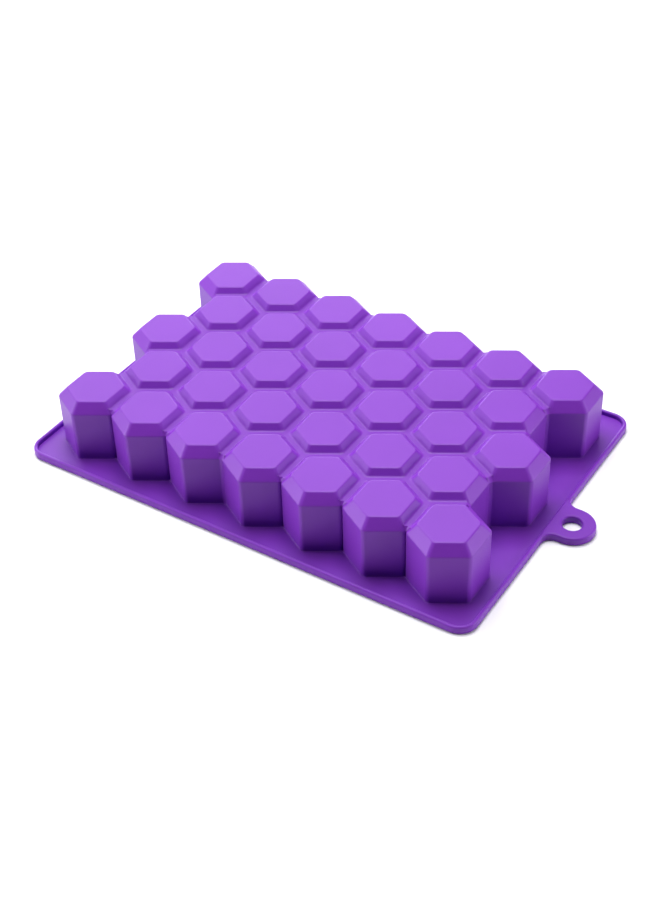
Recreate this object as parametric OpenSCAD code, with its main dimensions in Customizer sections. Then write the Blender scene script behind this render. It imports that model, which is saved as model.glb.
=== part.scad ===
// Honeycomb soap mould: one silicone moulding, standing on its mouth with the closed ends up.
// X runs along the long side, Y across it, and Z is up. The mouth plane is z = 0.

/* [Cups] */
// Cups in each long row; every second row has one cup fewer
long_row = 7; // [2:1:8]
// Number of rows
rows = 5; // [1:1:7]
// Distance between the middles of two cups in one row
cup_pitch = 25; // [20:0.5:40]
// Distance between the centre lines of two rows
row_pitch = 22.3; // [21.8:0.1:24]
// Height of the closed end above the mouth plane
cup_top = 25.6; // [20:0.1:45]
// Drop from the closed end down to where the sloping band meets the wall
chamfer_rise = 3.8; // [2:0.1:5]
// How far the sloping band steps in from the wall
chamfer_run = 3.3; // [2:0.1:5]
// Thickness of the silicone round each cavity
wall = 1.5; // [1:0.1:2.5]
// How much each cavity wall leans in between the mouth and the sloping band
cavity_draft = 0.3; // [0:0.05:0.8]
// Depth of the grooves between the closed ends
groove_depth = 2.4; // [0.5:0.1:3]

/* [Tray] */
// Thickness of the flat deck round the cups
deck_t = 1.2; // [0.8:0.1:3]
// Distance from the outermost cups to the outside of the lip
tray_margin = 7; // [4:0.5:20]
// Radius of the tray's corners
corner_r = 7; // [4:0.5:12]
// Thickness of the upstanding lip
lip_w = 1.5; // [1:0.1:3]
// Height of the lip above the mouth plane
lip_h = 3; // [2:0.1:6]

/* [Hanging tab] */
// Radius of the tab's round end
tab_r = 8.5; // [6:0.5:14]
// Distance from the lip to the middle of the hole
tab_reach = 6; // [3:0.5:20]
// Thickness of the tab
tab_t = 3; // [1.5:0.1:5]
// Radius of the hanging hole
hole_r = 3.6; // [1.5:0.1:5]
// Radius where the tab flares into the lip
root_r = 4; // [1:0.5:5]

/* [Hidden] */
silicone = [0.60, 0.34, 0.86];
sides = 6;
side_step = 360 / sides;
half_pitch = cup_pitch / 2;
// Distance from a cup's middle to the walls that it shares with the rows before and behind
row_apothem = half_pitch / 2 * cos(side_step) + row_pitch / 2 * sin(side_step);
shoulder = cup_top - chamfer_rise;
groove_floor = cup_top - groove_depth;
chamfer_len = norm([chamfer_run, chamfer_rise]);
// The inner slope lies one wall thickness behind the outer one
slope_step_in = wall * chamfer_rise / chamfer_len;
slope_step_down = wall * chamfer_run / chamfer_len;
row_edge = wall_half_width(half_pitch, row_apothem) * 2;
slant_edge = half_pitch / sin(side_step);
cell_reach = row_apothem / sin(side_step);
tray_l = long_row * cup_pitch + 2 * tray_margin;
tray_w = (rows - 1) * row_pitch + 2 * cell_reach + 2 * tray_margin;
tab_x = tray_l / 2 + tab_reach;
// Puts the middle of the whole outline, tab included, over the origin
shift_x = -(tab_reach + tab_r) / 2;
cut = 80;
seam = 0.01;
round_fn = 64;

function wall_half_width(a_row, a_slant) = (a_slant - a_row * cos(side_step)) / sin(side_step);
function cups_in(r) = long_row - r % 2;
function cup_x(r, c) = (c - (cups_in(r) - 1) / 2) * cup_pitch;
function cup_y(r) = (r - (rows - 1) / 2) * row_pitch;
function cup_name(r, c) = str("cup_r", r + 1, "_c", c + 1);
// A cup's walls face 0, 60, 120 ... degrees; the two that face along the row are half a pitch away
function apothem(k, inset) = (k % 3 == 0 ? half_pitch : row_apothem) - inset;

// The six-sided outline of a cup's cell, stepped in from the shared walls
module cell_outline(inset = 0) {
    ax = half_pitch - inset;
    ay = row_apothem - inset;
    side = wall_half_width(ax, ay);
    tip = ay / sin(side_step);
    polygon([[ax, -side], [ax, side], [0, tip], [-ax, side], [-ax, -side], [0, -tip]]);
}

// Everything outside six planes that lean inwards by run over rise, starting at height z
module lean(inset, z, run, rise) {
    for (k = [0 : sides - 1])
        rotate([0, 0, k * side_step])
            translate([apothem(k, inset), 0, z])
                rotate([0, -atan2(run, rise), 0])
                    translate([0, -cut / 2, -cut / 2])
                        cube([cut, cut, cut]);
}

module cup_outside() {
    difference() {
        linear_extrude(cup_top) cell_outline();
        lean(0, shoulder, chamfer_run, chamfer_rise);
    }
}

// The block is cut back on every side by the leaning planes, which give the cavity its size
module cavity() {
    difference() {
        translate([0, 0, -seam])
            linear_extrude(cup_top - wall + seam) cell_outline(wall / 2);
        lean(wall, 0, cavity_draft, shoulder);
        lean(slope_step_in, shoulder - slope_step_down, chamfer_run, chamfer_rise);
    }
}

module cup(r, c) {
    color(silicone)
        translate([shift_x + cup_x(r, c), cup_y(r), 0])
            difference() {
                cup_outside();
                cavity();
            }
}

// One strip of silicone in the groove over a shared wall
module groove_strip(length) {
    half_w = (groove_floor - shoulder) * chamfer_run / chamfer_rise;
    rotate([90, 0, 0])
        linear_extrude(length, center = true)
            polygon([[0, shoulder], [half_w, groove_floor], [-half_w, groove_floor]]);
}

module groove_web() {
    color(silicone)
        translate([shift_x, 0, 0])
            union() {
                for (r = [0 : rows - 1])
                    for (c = [0 : cups_in(r) - 2])
                        translate([cup_x(r, c) + half_pitch, cup_y(r), 0])
                            groove_strip(row_edge);
                for (r = [1 : 2 : rows - 1])
                    for (c = [0 : cups_in(r) - 1])
                        for (side = [-1, 1])
                            for (way = r + 1 < rows ? [-1, 1] : [-1])
                                translate([cup_x(r, c) + side * half_pitch / 2,
                                           cup_y(r) + way * row_pitch / 2, 0])
                                    rotate([0, 0, side * way * side_step])
                                        groove_strip(slant_edge);
            }
}

module rounded_rect(length, width, radius) {
    square([length, width - 2 * radius], center = true);
    square([length - 2 * radius, width], center = true);
    for (sx = [-1, 1])
        for (sy = [-1, 1])
            translate([sx * (length / 2 - radius), sy * (width / 2 - radius)])
                circle(r = radius, $fn = round_fn);
}

module deck() {
    color(silicone)
        translate([shift_x, 0, 0])
            linear_extrude(deck_t)
                difference() {
                    rounded_rect(tray_l - 2 * lip_w, tray_w - 2 * lip_w, corner_r - lip_w);
                    for (r = [0 : rows - 1])
                        for (c = [0 : cups_in(r) - 1])
                            translate([cup_x(r, c), cup_y(r)]) cell_outline();
                }
}

// The lip's section, with its outer face on the Y axis
module lip_section() {
    translate([-lip_w, 0]) square([lip_w, lip_h - lip_w / 2]);
    translate([-lip_w / 2, lip_h - lip_w / 2]) circle(d = lip_w, $fn = round_fn);
}

module lip_side(length) {
    rotate([90, 0, 0]) linear_extrude(length, center = true) lip_section();
}

module rim_lip() {
    color(silicone)
        translate([shift_x, 0, 0]) {
            for (turn = [0, 180])
                rotate([0, 0, turn]) {
                    translate([tray_l / 2, 0, 0]) lip_side(tray_w - 2 * corner_r);
                    rotate([0, 0, 90])
                        translate([tray_w / 2, 0, 0]) lip_side(tray_l - 2 * corner_r);
                    translate([tray_l / 2 - corner_r, tray_w / 2 - corner_r, 0])
                        rotate_extrude(angle = 90, $fn = round_fn)
                            translate([corner_r, 0]) lip_section();
                    translate([-(tray_l / 2 - corner_r), tray_w / 2 - corner_r, 0])
                        rotate([0, 0, 90])
                            rotate_extrude(angle = 90, $fn = round_fn)
                                translate([corner_r, 0]) lip_section();
                }
        }
}

module tab_outline() {
    // The round end, cut off where it would run into the lip
    intersection() {
        translate([tab_x, 0]) circle(r = tab_r, $fn = round_fn);
        translate([tray_l / 2, -tab_r]) square([tab_reach + tab_r, 2 * tab_r]);
    }
    translate([tray_l / 2, -tab_r]) square([tab_reach, 2 * tab_r]);
    for (sy = [-1, 1])
        difference() {
            translate([tray_l / 2, sy * (tab_r + root_r / 2)])
                square([2 * root_r, root_r], center = true);
            translate([tray_l / 2 + root_r, sy * (tab_r + root_r)])
                circle(r = root_r, $fn = round_fn);
            translate([tray_l / 2 - root_r, 0])
                square([2 * root_r, 4 * (tab_r + root_r)], center = true);
        }
}

module hanging_tab() {
    color(silicone)
        translate([shift_x, 0, 0])
            difference() {
                linear_extrude(tab_t) tab_outline();
                translate([tab_x, 0, -seam])
                    cylinder(r = hole_r, h = tab_t + 2 * seam, $fn = round_fn);
            }
}

deck();
rim_lip();
hanging_tab();
groove_web();
for (r = [0 : rows - 1])
    for (c = [0 : cups_in(r) - 1])
        cup(r, c);
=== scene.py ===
import logging
import math
from collections.abc import Callable, Iterator
from contextlib import contextmanager
from dataclasses import dataclass, field
from enum import Enum

import bmesh
import bpy
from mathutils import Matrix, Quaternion, Vector

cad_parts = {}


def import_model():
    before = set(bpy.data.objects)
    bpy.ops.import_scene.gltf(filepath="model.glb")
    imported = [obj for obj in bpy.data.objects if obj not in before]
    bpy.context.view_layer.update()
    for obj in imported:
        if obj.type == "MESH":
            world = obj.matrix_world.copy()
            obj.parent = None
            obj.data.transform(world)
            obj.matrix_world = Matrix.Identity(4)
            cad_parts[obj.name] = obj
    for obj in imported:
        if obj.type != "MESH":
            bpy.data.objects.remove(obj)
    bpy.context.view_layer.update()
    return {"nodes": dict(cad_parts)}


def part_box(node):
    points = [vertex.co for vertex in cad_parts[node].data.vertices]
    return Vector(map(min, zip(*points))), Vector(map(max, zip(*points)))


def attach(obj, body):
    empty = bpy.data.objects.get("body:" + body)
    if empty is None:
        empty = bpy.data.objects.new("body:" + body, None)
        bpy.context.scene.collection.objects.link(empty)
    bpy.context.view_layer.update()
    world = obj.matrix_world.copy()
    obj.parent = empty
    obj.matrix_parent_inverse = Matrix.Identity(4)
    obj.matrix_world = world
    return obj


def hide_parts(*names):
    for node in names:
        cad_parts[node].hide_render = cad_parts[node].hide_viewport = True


# A honeycomb soap mould of violet silicone, standing on its mouth with the closed cup ends up.
# X runs along its rows of cups, Y across them and Z up, and lengths are in metres.

LOG = logging.getLogger("soap_mould")
MM = 0.001
BODY = "root"

# Cells have six sides, and the directions of their walls lie a sixth of a turn apart
SIDES = 6
SIXTH_TURN = math.radians(60)
TWELFTH_TURN = math.radians(30)

# Lengths closer than a hair are the same, and an edge rises if its ends differ by more than a step
HAIR = 0.02 * MM
STEP = 0.3 * MM
WELD = 0.01 * MM
FINE_WELD = 0.002 * MM
# Least part of a face's normal that lies along the way it faces
SQUARE_ON = 0.9


# ---------------------------------------------------------------- hand tools


class Grip(Enum):
    """What edit mode picks up."""

    POINTS = "VERT"
    EDGES = "EDGE"
    FACES = "FACE"


@contextmanager
def on_the_bench(piece: bpy.types.Object) -> Iterator[bpy.types.Object]:
    """Opens one piece in edit mode and closes it again.

    Args:
        piece: The mesh object to work on.

    Returns:
        The same object, in edit mode inside the with block.
    """
    take_up(piece)
    bpy.ops.object.mode_set(mode="EDIT")
    try:
        yield piece
    finally:
        bpy.ops.object.mode_set(mode="OBJECT")


def lay_down_all() -> None:
    """Deselects every object."""
    bpy.ops.object.select_all(action="DESELECT")


def take_up(piece: bpy.types.Object) -> None:
    """Selects one object and no other, for the next operator to act on.

    Args:
        piece: The object.
    """
    lay_down_all()
    piece.select_set(True)
    bpy.context.view_layer.objects.active = piece


def pick(piece: bpy.types.Object, grip: Grip, test: Callable[..., bool]) -> None:
    """Selects the points, edges or faces of an open piece that pass a test.

    Args:
        piece: The object in edit mode.
        grip: Which kind of element is tested.
        test: Called with one bmesh element, true for those to select.
    """
    bpy.ops.mesh.select_all(action="DESELECT")
    bpy.ops.mesh.select_mode(type=grip.value)
    mesh = bmesh.from_edit_mesh(piece.data)
    mesh.normal_update()
    elements = {Grip.POINTS: mesh.verts, Grip.EDGES: mesh.edges, Grip.FACES: mesh.faces}[grip]
    for element in [e for e in elements if test(e)]:
        element.select_set(True)
    mesh.select_flush_mode()
    bmesh.update_edit_mesh(piece.data)


def anything(_: object) -> bool:
    """A test that every element passes."""
    return True


def near(a: float, b: float) -> bool:
    """True if two lengths are the same to a hair."""
    return abs(a - b) < HAIR


def edge_at(level: float) -> Callable[[bmesh.types.BMEdge], bool]:
    """A test for edges that lie flat at one height.

    Args:
        level: The height, in metres.

    Returns:
        The test, for pick().
    """
    return lambda edge: all(near(v.co.z, level) for v in edge.verts)


def rises(edge: bmesh.types.BMEdge) -> bool:
    """True for an upright or slanted edge."""
    return abs(edge.verts[0].co.z - edge.verts[1].co.z) > STEP


def face_at(level: float) -> Callable[[bmesh.types.BMFace], bool]:
    """A test for faces that lie flat at one height.

    Args:
        level: The height, in metres.

    Returns:
        The test, for pick().
    """
    return lambda face: all(near(v.co.z, level) for v in face.verts)


def crisp(edge: bmesh.types.BMEdge, least: float = 25) -> bool:
    """True for an edge at which the surface turns by more than a few degrees."""
    return len(edge.link_faces) == 2 and edge.calc_face_angle(0) > math.radians(least)


def shift(x: float = 0, y: float = 0, z: float = 0) -> None:
    """Moves what is selected."""
    bpy.ops.transform.translate(value=(x, y, z))


def round_off(width: float, segments: int, corners_only: bool = False) -> None:
    """Rounds the selected edges, or the selected corners of a flat face.

    Args:
        width: How far the rounding reaches from the edge, in metres.
        segments: Steps round the curve.
        corners_only: True to round points instead of edges.
    """
    bpy.ops.mesh.bevel(
        offset_type="OFFSET", offset=width, segments=segments, profile=0.5,
        affect="VERTICES" if corners_only else "EDGES", clamp_overlap=False, loop_slide=True,
    )


def raise_face(z: float) -> None:
    """Extrudes the selected faces straight up, or down where z is negative."""
    bpy.ops.mesh.extrude_region_move(TRANSFORM_OT_translate={"value": (0, 0, z)})


def step_in(width: float, depth: float = 0) -> None:
    """Insets the selected faces evenly and moves them along their normals.

    Args:
        width: How far the new outline lies inside the old one.
        depth: How far the faces move outwards along their normals.
    """
    bpy.ops.mesh.inset(thickness=width, depth=depth, use_even_offset=True)


def weld(slack: float = WELD) -> None:
    """Merges the points of an open piece that lie on each other and turns its faces outwards.

    Args:
        slack: How close points have to lie.
    """
    bpy.ops.mesh.select_all(action="SELECT")
    bpy.ops.mesh.remove_doubles(threshold=slack)
    bpy.ops.mesh.select_all(action="SELECT")
    bpy.ops.mesh.normals_make_consistent(inside=False)


def named(name: str) -> bpy.types.Object:
    """Names the object that an operator has just made.

    Args:
        name: The piece's name.

    Returns:
        The active object.
    """
    piece = bpy.context.active_object
    piece.name = name
    piece.data.name = name
    return piece


def settle(piece: bpy.types.Object) -> None:
    """Puts a piece's place and turn into its mesh, so that its object sits at the origin.

    Args:
        piece: The object, such as a new primitive.
    """
    take_up(piece)
    bpy.ops.object.transform_apply(location=True, rotation=True, scale=True)


def block(name: str, low: Vector, high: Vector) -> bpy.types.Object:
    """Adds a square-edged block to be shaped.

    Args:
        name: Its name.
        low: Its lowest corner.
        high: Its highest corner.

    Returns:
        The block.
    """
    lay_down_all()
    bpy.ops.mesh.primitive_cube_add(size=1, location=(low + high) / 2)
    made = named(name)
    made.dimensions = high - low
    settle(made)
    return made


def copy_to(piece: bpy.types.Object, name: str, place: Vector, turn: float = 0) -> bpy.types.Object:
    """Copies a finished piece with its own mesh, its place in the mesh.

    Args:
        piece: What is copied.
        name: The copy's name.
        place: How far the copy is moved.
        turn: How far it is turned about Z first, in radians.

    Returns:
        The copy, its object at the origin.
    """
    twin = piece.copy()
    twin.data = piece.data.copy()
    twin.name = twin.data.name = name
    bpy.context.scene.collection.objects.link(twin)
    twin.rotation_euler.z = turn
    twin.location = place
    settle(twin)
    return twin


def gather(pieces: list[bpy.types.Object], name: str) -> bpy.types.Object:
    """Joins several meshes into one object.

    Args:
        pieces: The objects to join.
        name: The joined object's name.

    Returns:
        The joined object.
    """
    lay_down_all()
    for piece in pieces:
        piece.select_set(True)
    bpy.context.view_layer.objects.active = pieces[0]
    bpy.ops.object.join()
    return named(name)


def scrap(piece: bpy.types.Object) -> None:
    """Throws away a pattern piece that is no longer needed."""
    bpy.data.objects.remove(piece, do_unlink=True)


def apply_modifier(piece: bpy.types.Object, kind: str, **settings: object) -> None:
    """Adds one modifier and applies it.

    Args:
        piece: The object to change.
        kind: Blender's name of the modifier type.
        **settings: Its settings by name.
    """
    take_up(piece)
    modifier = piece.modifiers.new(kind.lower(), kind)
    for key, value in settings.items():
        setattr(modifier, key, value)
    bpy.ops.object.modifier_apply(modifier=modifier.name)


def smooth(piece: bpy.types.Object, angle: float = 32) -> None:
    """Shades a piece smooth over its roundings and flat over its flats.

    Args:
        piece: The finished mesh.
        angle: Sharper edges than this, in degrees, stay crisp.
    """
    take_up(piece)
    bpy.ops.object.shade_smooth_by_angle(angle=math.radians(angle))
    apply_modifier(piece, "WEIGHTED_NORMAL", keep_sharp=True, weight=60)


# ---------------------------------------------------------------- the honeycomb


@dataclass
class Honeycomb:
    """Where the cups stand and how large their cells are, read from the CAD nodes."""

    cups: dict[str, Vector] = field(default_factory=dict)
    half_pitch: float = 0
    tip: float = 0
    # Corners of two cells that lie closer than this are one
    same_corner: float = 0.1 * MM

    @classmethod
    def from_frame(cls, nodes: dict[str, bpy.types.Object]) -> "Honeycomb":
        """Measures the cup nodes.

        Args:
            nodes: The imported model's nodes by name.

        Returns:
            The honeycomb.
        """
        comb = cls()
        for name in sorted(n for n in nodes if n.startswith("cup_")):
            low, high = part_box(name)
            comb.cups[name] = Vector(((low.x + high.x) / 2, (low.y + high.y) / 2, 0))
            comb.half_pitch = (high.x - low.x) / 2
            comb.tip = (high.y - low.y) / 2
        return comb

    @property
    def side(self) -> float:
        """Half the length of the walls that stand across the rows."""
        return self.tip - self.half_pitch * math.tan(TWELFTH_TURN)

    @property
    def row_apothem(self) -> float:
        """Distance from a cup's middle to the walls it shares with the rows beside its own."""
        return self.tip * math.cos(TWELFTH_TURN)

    @property
    def corners(self) -> list[Vector]:
        """The six corners of a cell.

        Returns:
            Their places about the cell's middle.
        """
        x, s, t = self.half_pitch, self.side, self.tip
        return [Vector(c) for c in
                ((x, s, 0), (0, t, 0), (-x, s, 0), (-x, -s, 0), (0, -t, 0), (x, -s, 0))]

    def outward(self, k: int) -> Vector:
        """The level direction in which a cup's wall number k faces."""
        return Vector((math.cos(SIXTH_TURN * k), math.sin(SIXTH_TURN * k), 0))

    def reach(self, k: int) -> float:
        """Distance from a cup's middle to its wall number k."""
        return self.half_pitch if k % (SIDES // 2) == 0 else self.row_apothem

    def open_walls(self, name: str) -> list[int]:
        """The numbers of a cup's walls that no neighbour stands against.

        Args:
            name: The cup.

        Returns:
            Wall numbers from 0, which faces +X, on round to 5.
        """
        middle = self.cups[name]
        return [k for k in range(SIDES) if not any(
            (other - middle - 2 * self.reach(k) * self.outward(k)).length < self.half_pitch / 2
            for other in self.cups.values())]

    def meeting_points(self, count: int) -> list[tuple[Vector, Vector]]:
        """The corners at which a given number of cells meet.

        Args:
            count: How many cells share the corner: 2 at the edge of the comb, 3 inside it.

        Returns:
            Each corner with a level direction: from one at the edge to the middle of its two
            cells, and from one inside to the middle of the first of its three.
        """
        shared: dict[tuple[int, int], list[tuple[Vector, Vector]]] = {}
        for middle in self.cups.values():
            for corner in self.corners:
                point = middle + corner
                key = (round(point.x / self.same_corner), round(point.y / self.same_corner))
                shared.setdefault(key, []).append((point, middle))
        found = []
        for members in shared.values():
            if len(members) == count:
                point = members[0][0]
                faced = members if count == 2 else members[:1]
                inward = sum((middle - point for _, middle in faced), Vector())
                found.append((point, inward.normalized()))
        return found

    def hexagon(self, name: str, level: float) -> bpy.types.Object:
        """Lays down one cell as a flat six-sided face.

        Args:
            name: The new object's name.
            level: Its height.

        Returns:
            The face, about the origin.
        """
        regular_tip = self.half_pitch / math.cos(TWELFTH_TURN)
        stretch = self.tip - regular_tip
        lay_down_all()
        bpy.ops.mesh.primitive_circle_add(vertices=SIDES, radius=regular_tip, fill_type="NGON")
        cell = named(name)
        with on_the_bench(cell):
            for way in (1, -1):
                pick(cell, Grip.POINTS, lambda v, way=way: v.co.y * way > 0)
                shift(y=way * stretch)
            bpy.ops.mesh.select_all(action="SELECT")
            shift(z=level)
        return cell


# ---------------------------------------------------------------- finishes


def linear(colour: str) -> tuple[float, float, float, float]:
    """Turns an sRGB hex colour into the linear values that shaders take.

    Args:
        colour: Six hex digits after a hash.

    Returns:
        Red, green, blue and alpha.
    """
    parts = [int(colour[i:i + 2], 16) / 255 for i in (1, 3, 5)]
    r, g, b = (c / 12.92 if c <= 0.04045 else ((c + 0.055) / 1.055) ** 2.4 for c in parts)
    return r, g, b, 1.0


def node(tree: bpy.types.NodeTree, kind: str, links: dict[str, object] | None = None,
         **settings: object) -> bpy.types.Node:
    """Adds one node with its settings and links.

    Args:
        tree: The node tree.
        kind: The node's type.
        links: By input name or number, an output socket to link or a value to set.
        **settings: The node's own settings.

    Returns:
        The new node.
    """
    made = tree.nodes.new(kind)
    for key, value in settings.items():
        setattr(made, key, value)
    for key, value in (links or {}).items():
        if isinstance(value, bpy.types.NodeSocket):
            tree.links.new(value, made.inputs[key])
        else:
            made.inputs[key].default_value = value
    return made


def bare_material(name: str) -> bpy.types.Material:
    """Makes a material with an empty node tree.

    Args:
        name: The material's name.

    Returns:
        The material.
    """
    material = bpy.data.materials.new(name)
    material.use_nodes = True
    material.node_tree.nodes.clear()
    return material


@dataclass(frozen=True)
class MouldedSilicone:
    """Platinum-cured silicone rubber, compression moulded in a bead-blasted tool.

    The eye sees a deep violet body with a soft satin skin: wide, weak highlights that grow
    to bright rims at a grazing angle, and a little light that travels under the surface.
    """

    name: str = "violet_moulded_silicone"
    pigment: str = "#7930B2"
    pigment_deep: str = "#712CA8"
    ior: float = 1.41
    gloss: float = 0.4
    roughness: float = 0.42
    roughness_spread: float = 0.05
    blast_grain: float = 0.35 * MM
    blast_depth: float = 0.03 * MM
    blast_strength: float = 0.12
    noise_reach: tuple[float, float] = (0.3, 0.7)
    swirl: float = 30 * MM
    glow: float = 0.08
    glow_depth: float = 1.2 * MM
    glow_tint: tuple[float, float, float] = (0.5, 0.15, 1.0)

    def make(self) -> bpy.types.Material:
        """Builds the material.

        Returns:
            The material, to be put on every piece of the moulding.
        """
        material = bare_material(self.name)
        tree = material.node_tree
        place = node(tree, "ShaderNodeTexCoord").outputs["Object"]
        # Pigment is stirred into the gum, so its strength drifts slowly across the moulding
        drift = node(tree, "ShaderNodeTexNoise", {
            "Vector": place, "Scale": 1 / self.swirl, "Detail": 2.0, "Roughness": 0.5})
        # The mix node's inputs share their names, so they go by number: factor, first, second
        body = node(tree, "ShaderNodeMix", {
            0: drift.outputs["Fac"], 6: linear(self.pigment_deep), 7: linear(self.pigment)},
            data_type="RGBA")
        # The blasted tool leaves a fine grain, drawn several times coarser than the real one
        grain = node(tree, "ShaderNodeTexNoise", {
            "Vector": place, "Scale": 1 / self.blast_grain, "Detail": 3.0, "Roughness": 0.6})
        sheen = node(tree, "ShaderNodeMapRange", {
            "Value": grain.outputs["Fac"],
            "From Min": self.noise_reach[0], "From Max": self.noise_reach[1],
            "To Min": self.roughness - self.roughness_spread,
            "To Max": self.roughness + self.roughness_spread})
        bump = node(tree, "ShaderNodeBump", {
            "Height": grain.outputs["Fac"], "Strength": self.blast_strength,
            "Distance": self.blast_depth})
        shader = node(tree, "ShaderNodeBsdfPrincipled", {
            "Base Color": body.outputs[2], "Roughness": sheen.outputs["Result"],
            "Normal": bump.outputs["Normal"], "IOR": self.ior,
            "Specular IOR Level": self.gloss, "Subsurface Weight": self.glow,
            "Subsurface Radius": self.glow_tint, "Subsurface Scale": self.glow_depth})
        node(tree, "ShaderNodeOutputMaterial", {"Surface": shader.outputs["BSDF"]})
        return material


@dataclass(frozen=True)
class StudioFloor:
    """Matt white laminate, which gives a plain pale ground with a faint soft shadow."""

    name: str = "matt_white_laminate"
    tint: str = "#F4F4F4"
    roughness: float = 0.9

    def make(self) -> bpy.types.Material:
        """Builds the material.

        Returns:
            The material of the floor.
        """
        material = bare_material(self.name)
        tree = material.node_tree
        shader = node(tree, "ShaderNodeBsdfPrincipled", {
            "Base Color": linear(self.tint), "Roughness": self.roughness})
        node(tree, "ShaderNodeOutputMaterial", {"Surface": shader.outputs["BSDF"]})
        return material


def dress(piece: bpy.types.Object, material: bpy.types.Material, *stands_for: str) -> None:
    """Gives a finished piece its material and its body, and hides the CAD nodes that it stands for.

    Args:
        piece: The finished mesh object.
        material: Its material.
        *stands_for: The CAD nodes that it replaces.
    """
    piece.data.materials.clear()
    piece.data.materials.append(material)
    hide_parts(*stands_for)
    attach(piece, BODY)
    LOG.info("%s: %d faces", piece.name, len(piece.data.polygons))


# ---------------------------------------------------------------- the moulding


@dataclass
class Cup:
    """One hollow six-sided cup with its closed end up, modelled once and copied."""

    comb: Honeycomb
    height: float
    chamfer_rise: float = 3.8 * MM
    chamfer_run: float = 3.3 * MM
    wall: float = 1.5 * MM
    cavity_draft: float = 0.3 * MM
    corner: float = 1.15 * MM
    corner_steps: int = 6
    edge: float = 0.42 * MM
    edge_steps: int = 4

    @property
    def shoulder(self) -> float:
        """Height at which the sloping band meets the wall."""
        return self.height - self.chamfer_rise

    def pattern(self) -> bpy.types.Object:
        """Models the cup about the origin.

        Returns:
            The pattern that every cup is copied from.
        """
        cup = self.comb.hexagon("cup_pattern", 0)
        slope = math.hypot(self.chamfer_run, self.chamfer_rise)
        inner_step = self.wall * self.chamfer_rise / slope
        inner_shoulder = self.shoulder - self.wall * self.chamfer_run / slope
        ceiling = self.height - self.wall
        inner_run = (ceiling - inner_shoulder) * self.chamfer_run / self.chamfer_rise
        draft = inner_step - self.wall + self.cavity_draft
        cavity_lean = 1 - draft / self.comb.half_pitch
        with on_the_bench(cup):
            bpy.ops.mesh.select_all(action="SELECT")
            raise_face(self.shoulder)
            step_in(self.chamfer_run, self.chamfer_rise)
            weld()
            pick(cup, Grip.FACES, face_at(0))
            step_in(self.wall)
            raise_face(inner_shoulder)
            bpy.ops.transform.resize(value=(cavity_lean, cavity_lean, 1))
            step_in(inner_run)
            shift(z=ceiling - inner_shoulder)
            weld()
            pick(cup, Grip.EDGES, rises)
            round_off(self.corner, self.corner_steps)
            pick(cup, Grip.EDGES, lambda e: crisp(e) and e.verts[0].co.z > self.wall)
            round_off(self.edge, self.edge_steps)
            weld()
        smooth(cup)
        return cup

    def build(self, material: bpy.types.Material) -> None:
        """Copies the cup to every place in the comb.

        Args:
            material: The silicone.
        """
        pattern = self.pattern()
        for name, middle in self.comb.cups.items():
            dress(copy_to(pattern, f"{name}_moulding", middle), material, name)
        scrap(pattern)


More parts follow.
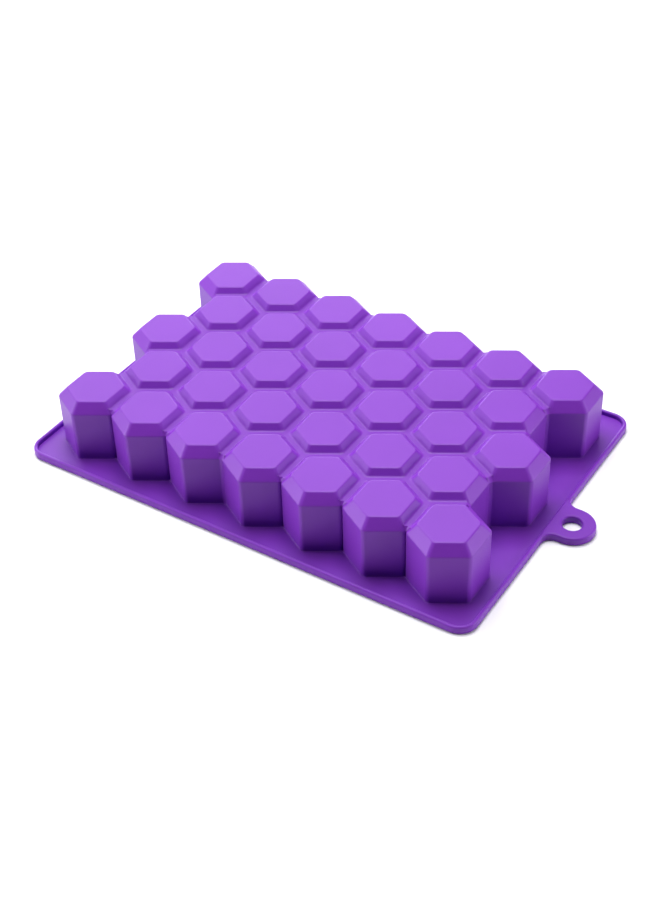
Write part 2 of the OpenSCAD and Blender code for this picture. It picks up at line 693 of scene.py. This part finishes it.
@dataclass
class GrooveWeb:
    """The silicone between the cups: the groove floors and the corners where cups meet."""

    comb: Honeycomb
    cup: Cup
    floor: float
    fillet: float = 0.68 * MM
    fillet_steps: int = 5
    fin_spare: float = 0.01 * MM
    # How deep the posts and corners are let into what they stand against
    sunk: float = 0.05 * MM
    # How far below a cup's sloping band the web is cut off where no neighbour stands
    cut: float = 0.22 * MM
    cut_snap: float = 0.001 * MM
    # Radius of the post where three cups meet, as a multiple of the cups' corner rounding
    post_width: float = 1.05
    post_tip: float = 0.3 * MM
    post_taper: float = 0.5
    corner_foot: float = 0.4 * MM
    corner_share: float = 0.995

    @property
    def fall(self) -> float:
        """How far a cup's sloping band steps in for each metre that it rises."""
        return self.cup.chamfer_run / self.cup.chamfer_rise

    @property
    def foot(self) -> float:
        """How far the groove floor reaches in over the cups' sloping bands."""
        return (self.floor - self.cup.shoulder) * self.fall

    def cell(self) -> bpy.types.Object:
        """Models the ring of silicone round one cup, from its shoulder up to the groove floor.

        Returns:
            The ring, about the origin.
        """
        ring = self.comb.hexagon("web_cell", self.cup.shoulder)
        # A fin above the groove floor, as tall as the fillet that it carries
        fin = (self.fillet + self.fin_spare) / math.hypot(1, self.fall)
        with on_the_bench(ring):
            bpy.ops.mesh.select_all(action="SELECT")
            raise_face(self.floor - self.cup.shoulder)
            step_in(self.foot)
            step_in(fin * self.fall, fin)
            weld()
            pick(ring, Grip.FACES, lambda f: face_at(self.cup.shoulder)(f)
                 or face_at(self.floor + fin)(f))
            bpy.ops.mesh.bridge_edge_loops()
            pick(ring, Grip.EDGES, lambda e: rises(e) and all(
                v.co.z > self.floor - HAIR for v in e.verts))
            round_off(self.cup.corner, self.cup.corner_steps)
            pick(ring, Grip.EDGES,
                 lambda e: edge_at(self.floor)(e) and crisp(e) and not e.is_convex)
            round_off(self.fillet, self.fillet_steps)
            weld(FINE_WELD)
        return ring

    def trimmed(self, pattern: bpy.types.Object, name: str) -> bpy.types.Object:
        """Copies the ring to one cup and cuts it off in the plane of each outer slope.

        Args:
            pattern: The ring about the origin.
            name: The cup.

        Returns:
            What is left of the ring between this cup and its neighbours.
        """
        ring = copy_to(pattern, f"{name}_web", Vector())
        tilt = Vector((self.cup.chamfer_rise, 0, self.cup.chamfer_run)).normalized()
        with on_the_bench(ring):
            for k in self.comb.open_walls(name):
                out = self.comb.outward(k)
                slope = out * tilt.x + Vector((0, 0, tilt.z))
                edge = out * self.comb.reach(k) + Vector((0, 0, self.cup.shoulder))
                bpy.ops.mesh.select_all(action="SELECT")
                bpy.ops.mesh.bisect(plane_co=edge - slope * self.cut, plane_no=slope,
                                    threshold=self.cut_snap, use_fill=True, clear_outer=True)
        ring.location = self.comb.cups[name]
        settle(ring)
        return ring

    def inner_post(self) -> bpy.types.Object:
        """Models the three-sided post that fills the corner where three cups meet.

        Returns:
            The post, with one corner towards -X.
        """
        lay_down_all()
        bpy.ops.mesh.primitive_cylinder_add(
            vertices=3, radius=self.cup.corner * self.post_width,
            depth=self.cup.shoulder - self.sunk,
            location=(0, 0, (self.cup.shoulder + self.sunk) / 2),
            rotation=(0, 0, math.radians(90)))
        post = named("inner_post")
        settle(post)
        with on_the_bench(post):
            pick(post, Grip.FACES, lambda f: f.normal.z > SQUARE_ON)
            raise_face(self.post_tip)
            bpy.ops.transform.resize(value=(self.post_taper, self.post_taper, 1))
        return post

    def outer_corner(self) -> bpy.types.Object:
        """Models the rounded inside corner between two cups at the edge of the comb.

        Returns:
            The corner, which opens towards -X and stands with its ridge at the origin.
        """
        arm = self.cup.corner
        across, along = arm * math.sin(SIXTH_TURN), arm * math.cos(SIXTH_TURN)
        lay_down_all()
        bpy.ops.mesh.primitive_circle_add(
            vertices=4, radius=across, fill_type="NGON", location=(-along, 0, self.corner_foot))
        corner = named("outer_corner")
        settle(corner)
        with on_the_bench(corner):
            # The foremost point goes back to the ridge, where it is rounded to the cups' walls
            pick(corner, Grip.POINTS, lambda v: v.co.x < -arm)
            shift(x=across + along)
            round_off(arm * self.corner_share, self.cup.corner_steps, corners_only=True)
            bpy.ops.mesh.select_all(action="SELECT")
            raise_face(self.cup.shoulder - self.corner_foot)
            raise_face(self.floor - self.cup.shoulder - self.sunk)
            shift(x=self.foot / math.cos(TWELFTH_TURN))
            weld()
        return corner

    def build(self, material: bpy.types.Material) -> None:
        """Models the whole web.

        Args:
            material: The silicone.
        """
        pattern, post, corner = self.cell(), self.inner_post(), self.outer_corner()
        parts = [self.trimmed(pattern, name) for name in self.comb.cups]
        for point, inward in self.comb.meeting_points(3):
            parts.append(copy_to(post, "post", point, math.atan2(inward.y, inward.x)))
        for point, inward in self.comb.meeting_points(2):
            parts.append(copy_to(corner, "corner", point + inward * self.sunk,
                                 math.atan2(inward.y, inward.x)))
        for used in (pattern, post, corner):
            scrap(used)
        web = gather(parts, "groove_web_moulding")
        smooth(web)
        dress(web, material, "groove_web")


@dataclass
class Deck:
    """The flat plate between the cups and the lip, with a fillet up to the cup walls."""

    comb: Honeycomb
    cup: Cup
    low: Vector
    high: Vector
    corner_r: float = 5.5 * MM
    corner_steps: int = 12
    fillet: float = 0.35 * MM
    fillet_steps: int = 4
    fillet_share: float = 0.99
    # How far the deck reaches into the cup walls, and how wide the strip is that carries the fillet
    sunk: float = 0.05 * MM
    collar: float = 0.5 * MM
    # How high the block that cuts the cups' place out reaches, in deck thicknesses
    clear: float = 4

    def comb_outline(self, step: float, low: float, high: float) -> bpy.types.Object:
        """Raises a block in the outline of the whole comb.

        Args:
            step: How far the outline lies inside the outer walls.
            low: Height of its foot.
            high: Height of its top.

        Returns:
            The block.
        """
        cell = self.comb.hexagon("cell", low)
        outline = gather([copy_to(cell, "cell", middle) for middle in self.comb.cups.values()],
                         "comb_block")
        scrap(cell)
        with on_the_bench(outline):
            bpy.ops.mesh.select_all(action="SELECT")
            bpy.ops.mesh.remove_doubles(threshold=self.sunk)
            bpy.ops.mesh.dissolve_faces()
            pick(outline, Grip.FACES, anything)
            step_in(step)
            bpy.ops.mesh.select_all(action="INVERT")
            bpy.ops.mesh.delete(type="FACE")
            pick(outline, Grip.POINTS, anything)
            round_off(self.cup.corner, self.cup.corner_steps, corners_only=True)
            bpy.ops.mesh.select_all(action="SELECT")
            raise_face(high - low)
            weld()
        return outline

    def build(self, material: bpy.types.Material) -> None:
        """Models the deck.

        Args:
            material: The silicone.
        """
        top = self.high.z
        deck = block("deck_moulding", self.low, self.high)
        with on_the_bench(deck):
            pick(deck, Grip.EDGES, rises)
            round_off(self.corner_r, self.corner_steps)
        collar = self.comb_outline(self.sunk, top / 2, top + self.fillet)
        mouth = self.comb_outline(self.sunk + self.collar, -top, top * self.clear)
        apply_modifier(deck, "BOOLEAN", operation="UNION", object=collar, solver="EXACT")
        apply_modifier(deck, "BOOLEAN", operation="DIFFERENCE", object=mouth, solver="EXACT")
        scrap(collar)
        scrap(mouth)
        with on_the_bench(deck):
            pick(deck, Grip.EDGES, lambda e: edge_at(top)(e) and crisp(e) and not e.is_convex)
            round_off(self.fillet * self.fillet_share, self.fillet_steps)
            weld(FINE_WELD)
        smooth(deck)
        dress(deck, material, "deck")


@dataclass
class RimLip:
    """The upstanding lip round the deck, full round on top."""

    low: Vector
    high: Vector
    width: float = 1.5 * MM
    corner_r: float = 7 * MM
    corner_steps: int = 16
    crown_steps: int = 5
    # Just short of half the width, so that the two roundings of the crown don't run together
    crown_share: float = 0.498
    foot: float = 0.3 * MM
    foot_steps: int = 3

    def build(self, material: bpy.types.Material) -> None:
        """Models the lip.

        Args:
            material: The silicone.
        """
        lip = block("rim_lip_moulding", self.low, self.high)
        with on_the_bench(lip):
            pick(lip, Grip.EDGES, rises)
            round_off(self.corner_r, self.corner_steps)
            pick(lip, Grip.FACES, lambda f: abs(f.normal.z) > SQUARE_ON)
            step_in(self.width)
            bpy.ops.mesh.bridge_edge_loops()
            weld()
            pick(lip, Grip.EDGES, lambda e: edge_at(self.high.z)(e) and crisp(e))
            round_off(self.width * self.crown_share, self.crown_steps)
            pick(lip, Grip.EDGES, lambda e: edge_at(self.low.z)(e) and crisp(e)
                 and self.outermost(e))
            round_off(self.foot, self.foot_steps)
            weld(FINE_WELD)
        smooth(lip)
        dress(lip, material, "rim_lip")

    def outermost(self, edge: bmesh.types.BMEdge) -> bool:
        """Tests whether an edge is on the lip's outer face.

        Args:
            edge: One of the lip's level edges.

        Returns:
            True if the upright face at the edge looks away from the middle of the tray.
        """
        normals = [f.normal for f in edge.link_faces if abs(f.normal.z) < 1 - SQUARE_ON]
        middle = (self.low + self.high) / 2
        place = (edge.verts[0].co + edge.verts[1].co) / 2 - middle
        return any(n.x * place.x + n.y * place.y > 0 for n in normals)


@dataclass
class HangingTab:
    """The tab in the middle of the short side, with the hanging hole."""

    low: Vector
    high: Vector
    root: float
    hole_r: float = 3.6 * MM
    root_r: float = 4 * MM
    under_lip: float = 0.76 * MM
    # Just short of the whole half width, so that the end's two roundings don't run together
    end_share: float = 0.999
    end_steps: int = 14
    # The ears that the root is cut from, a little wider than its radius
    ear_share: float = 1.01
    root_steps: int = 8
    hole_sides: int = 48
    top_edge: float = 0.75 * MM
    foot: float = 0.3 * MM
    edge_steps: int = 4
    sharp: float = 50

    @property
    def half_width(self) -> float:
        """Half the width of the tab past its root."""
        return (self.high.y - self.low.y) / 2 - self.root_r

    def build(self, material: bpy.types.Material) -> None:
        """Models the tab.

        Args:
            material: The silicone.
        """
        root, tip, w, t = self.root, self.high.x, self.half_width, self.high.z
        start = root - self.under_lip
        tab = block("hanging_tab_moulding", Vector((start, -w, 0)), Vector((tip, w, t)))
        with on_the_bench(tab):
            pick(tab, Grip.EDGES, lambda e: rises(e) and e.verts[0].co.x > root)
            round_off(w * self.end_share, self.end_steps)
            bpy.ops.mesh.select_all(action="SELECT")
            bpy.ops.mesh.bisect(plane_co=(root, 0, 0), plane_no=(1, 0, 0))
            for way in (1, -1):
                pick(tab, Grip.FACES, lambda f, way=way: f.normal.y * way > SQUARE_ON
                     and f.calc_center_median().x < root)
                ear = way * self.root_r * self.ear_share
                bpy.ops.mesh.extrude_region_move(TRANSFORM_OT_translate={"value": (0, ear, 0)})
            weld()
            pick(tab, Grip.EDGES, lambda e: rises(e) and not e.is_convex
                 and near(e.verts[0].co.x, root))
            round_off(self.root_r, self.root_steps)
            weld()
        lay_down_all()
        bpy.ops.mesh.primitive_cylinder_add(
            vertices=self.hole_sides, radius=self.hole_r, depth=t * 3, location=(tip - w, 0, t / 2))
        punch = named("hole_punch")
        settle(punch)
        apply_modifier(tab, "BOOLEAN", operation="DIFFERENCE", object=punch, solver="EXACT")
        scrap(punch)
        with on_the_bench(tab):
            for level, width in ((t, self.top_edge), (0, self.foot)):
                pick(tab, Grip.EDGES, lambda e, level=level: crisp(e, self.sharp)
                     and edge_at(level)(e) and min(v.co.x for v in e.verts) > root - HAIR)
                round_off(width, self.edge_steps)
            weld(FINE_WELD)
        smooth(tab)
        dress(tab, material, "hanging_tab")


# ---------------------------------------------------------------- the studio


def aim(item: bpy.types.Object, target: Vector, azimuth: float, elevation: float,
        away: float, roll: float = 0) -> None:
    """Puts a lamp or a camera in the scene and points it at the target.

    Args:
        item: The lamp or camera.
        target: What it looks at.
        azimuth: Degrees from -Y towards +X, seen from the target.
        elevation: Degrees above the floor.
        away: Its distance from the target.
        roll: Degrees that it is turned about its line of sight.
    """
    a, e = math.radians(azimuth), math.radians(elevation)
    back = Vector((math.sin(a) * math.cos(e), -math.cos(a) * math.cos(e), math.sin(e)))
    item.location = target + back * away
    item.rotation_mode = "QUATERNION"
    level = (-back).to_track_quat("-Z", "Y")
    item.rotation_quaternion = Quaternion(back, math.radians(roll)) @ level
    bpy.context.scene.collection.objects.link(item)


@dataclass(frozen=True)
class SoftBox:
    """A square soft box: its bearings in degrees, distance and side in metres, power in watts."""

    name: str
    azimuth: float
    elevation: float
    away: float
    side: float
    power: float

    def hang(self, target: Vector) -> None:
        """Hangs the soft box so that it shines on the target.

        Args:
            target: What it lights.
        """
        data = bpy.data.lights.new(self.name, "AREA")
        data.shape, data.size, data.energy = "SQUARE", self.side, self.power
        aim(bpy.data.objects.new(self.name, data), target,
            self.azimuth, self.elevation, self.away)


@dataclass
class Studio:
    """A plain pale floor, soft boxes and the camera."""

    target: Vector = field(default_factory=lambda: Vector((-3.345, -6.87, 1.2)) * MM)
    azimuth: float = 33.267
    elevation: float = 38.995
    roll: float = -1.717
    distance: float = 576.7 * MM
    lens: float = 61.195
    sensor: float = 36.0
    clip: tuple[float, float] = (0.01, 20)
    floor_side: float = 8
    floor_drop: float = 0.1 * MM
    haze: float = 0.02
    lamps: tuple[SoftBox, ...] = (
        SoftBox("overhead", 213, 78, 0.8, 0.5, 7.5),
        SoftBox("back_high", 213, 45, 2.4, 2.0, 8),
        SoftBox("back_low", 213, 12, 2.0, 1.0, 15),
        SoftBox("left_high", 250, 35, 1.6, 0.8, 11),
        SoftBox("left_low", 300, 12, 1.6, 0.8, 20),
        SoftBox("right_low", 115, 12, 1.6, 0.8, 17),
    )

    def floor(self) -> None:
        """Lays the floor just under the mouth plane."""
        lay_down_all()
        bpy.ops.mesh.primitive_plane_add(size=self.floor_side, location=(0, 0, -self.floor_drop))
        floor = named("studio_floor")
        floor.data.materials.append(StudioFloor().make())

    def room(self) -> None:
        """Sets up the room's own faint light and the colours' view."""
        world = bpy.data.worlds.new("studio")
        world.use_nodes = True
        background = world.node_tree.nodes["Background"]
        background.inputs["Color"].default_value = (1, 1, 1, 1)
        background.inputs["Strength"].default_value = self.haze
        bpy.context.scene.world = world
        bpy.context.scene.view_settings.view_transform = "Standard"

    def camera(self) -> None:
        """Sets up the camera."""
        data = bpy.data.cameras.new("camera")
        data.lens, data.sensor_width, data.sensor_fit = self.lens, self.sensor, "AUTO"
        data.clip_start, data.clip_end = self.clip
        camera = bpy.data.objects.new("camera", data)
        aim(camera, self.target, self.azimuth, self.elevation, self.distance, self.roll)
        bpy.context.scene.camera = camera

    def build(self) -> None:
        """Sets up the floor, the lamps, the room and the camera."""
        self.floor()
        for lamp in self.lamps:
            lamp.hang(self.target)
        self.room()
        self.camera()


def main() -> None:
    """Builds the mould's looks round its CAD frame."""
    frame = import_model()
    logging.basicConfig(level=logging.INFO, format="%(name)s %(message)s")
    comb = Honeycomb.from_frame(frame["nodes"])
    silicone = MouldedSilicone().make()
    cup = Cup(comb, height=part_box("cup_r1_c1")[1].z)
    cup.build(silicone)
    GrooveWeb(comb, cup, floor=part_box("groove_web")[1].z).build(silicone)
    Deck(comb, cup, *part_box("deck")).build(silicone)
    RimLip(*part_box("rim_lip")).build(silicone)
    HangingTab(*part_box("hanging_tab"), root=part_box("rim_lip")[1].x).build(silicone)
    Studio().build()


if __name__ == "__main__":
    main()
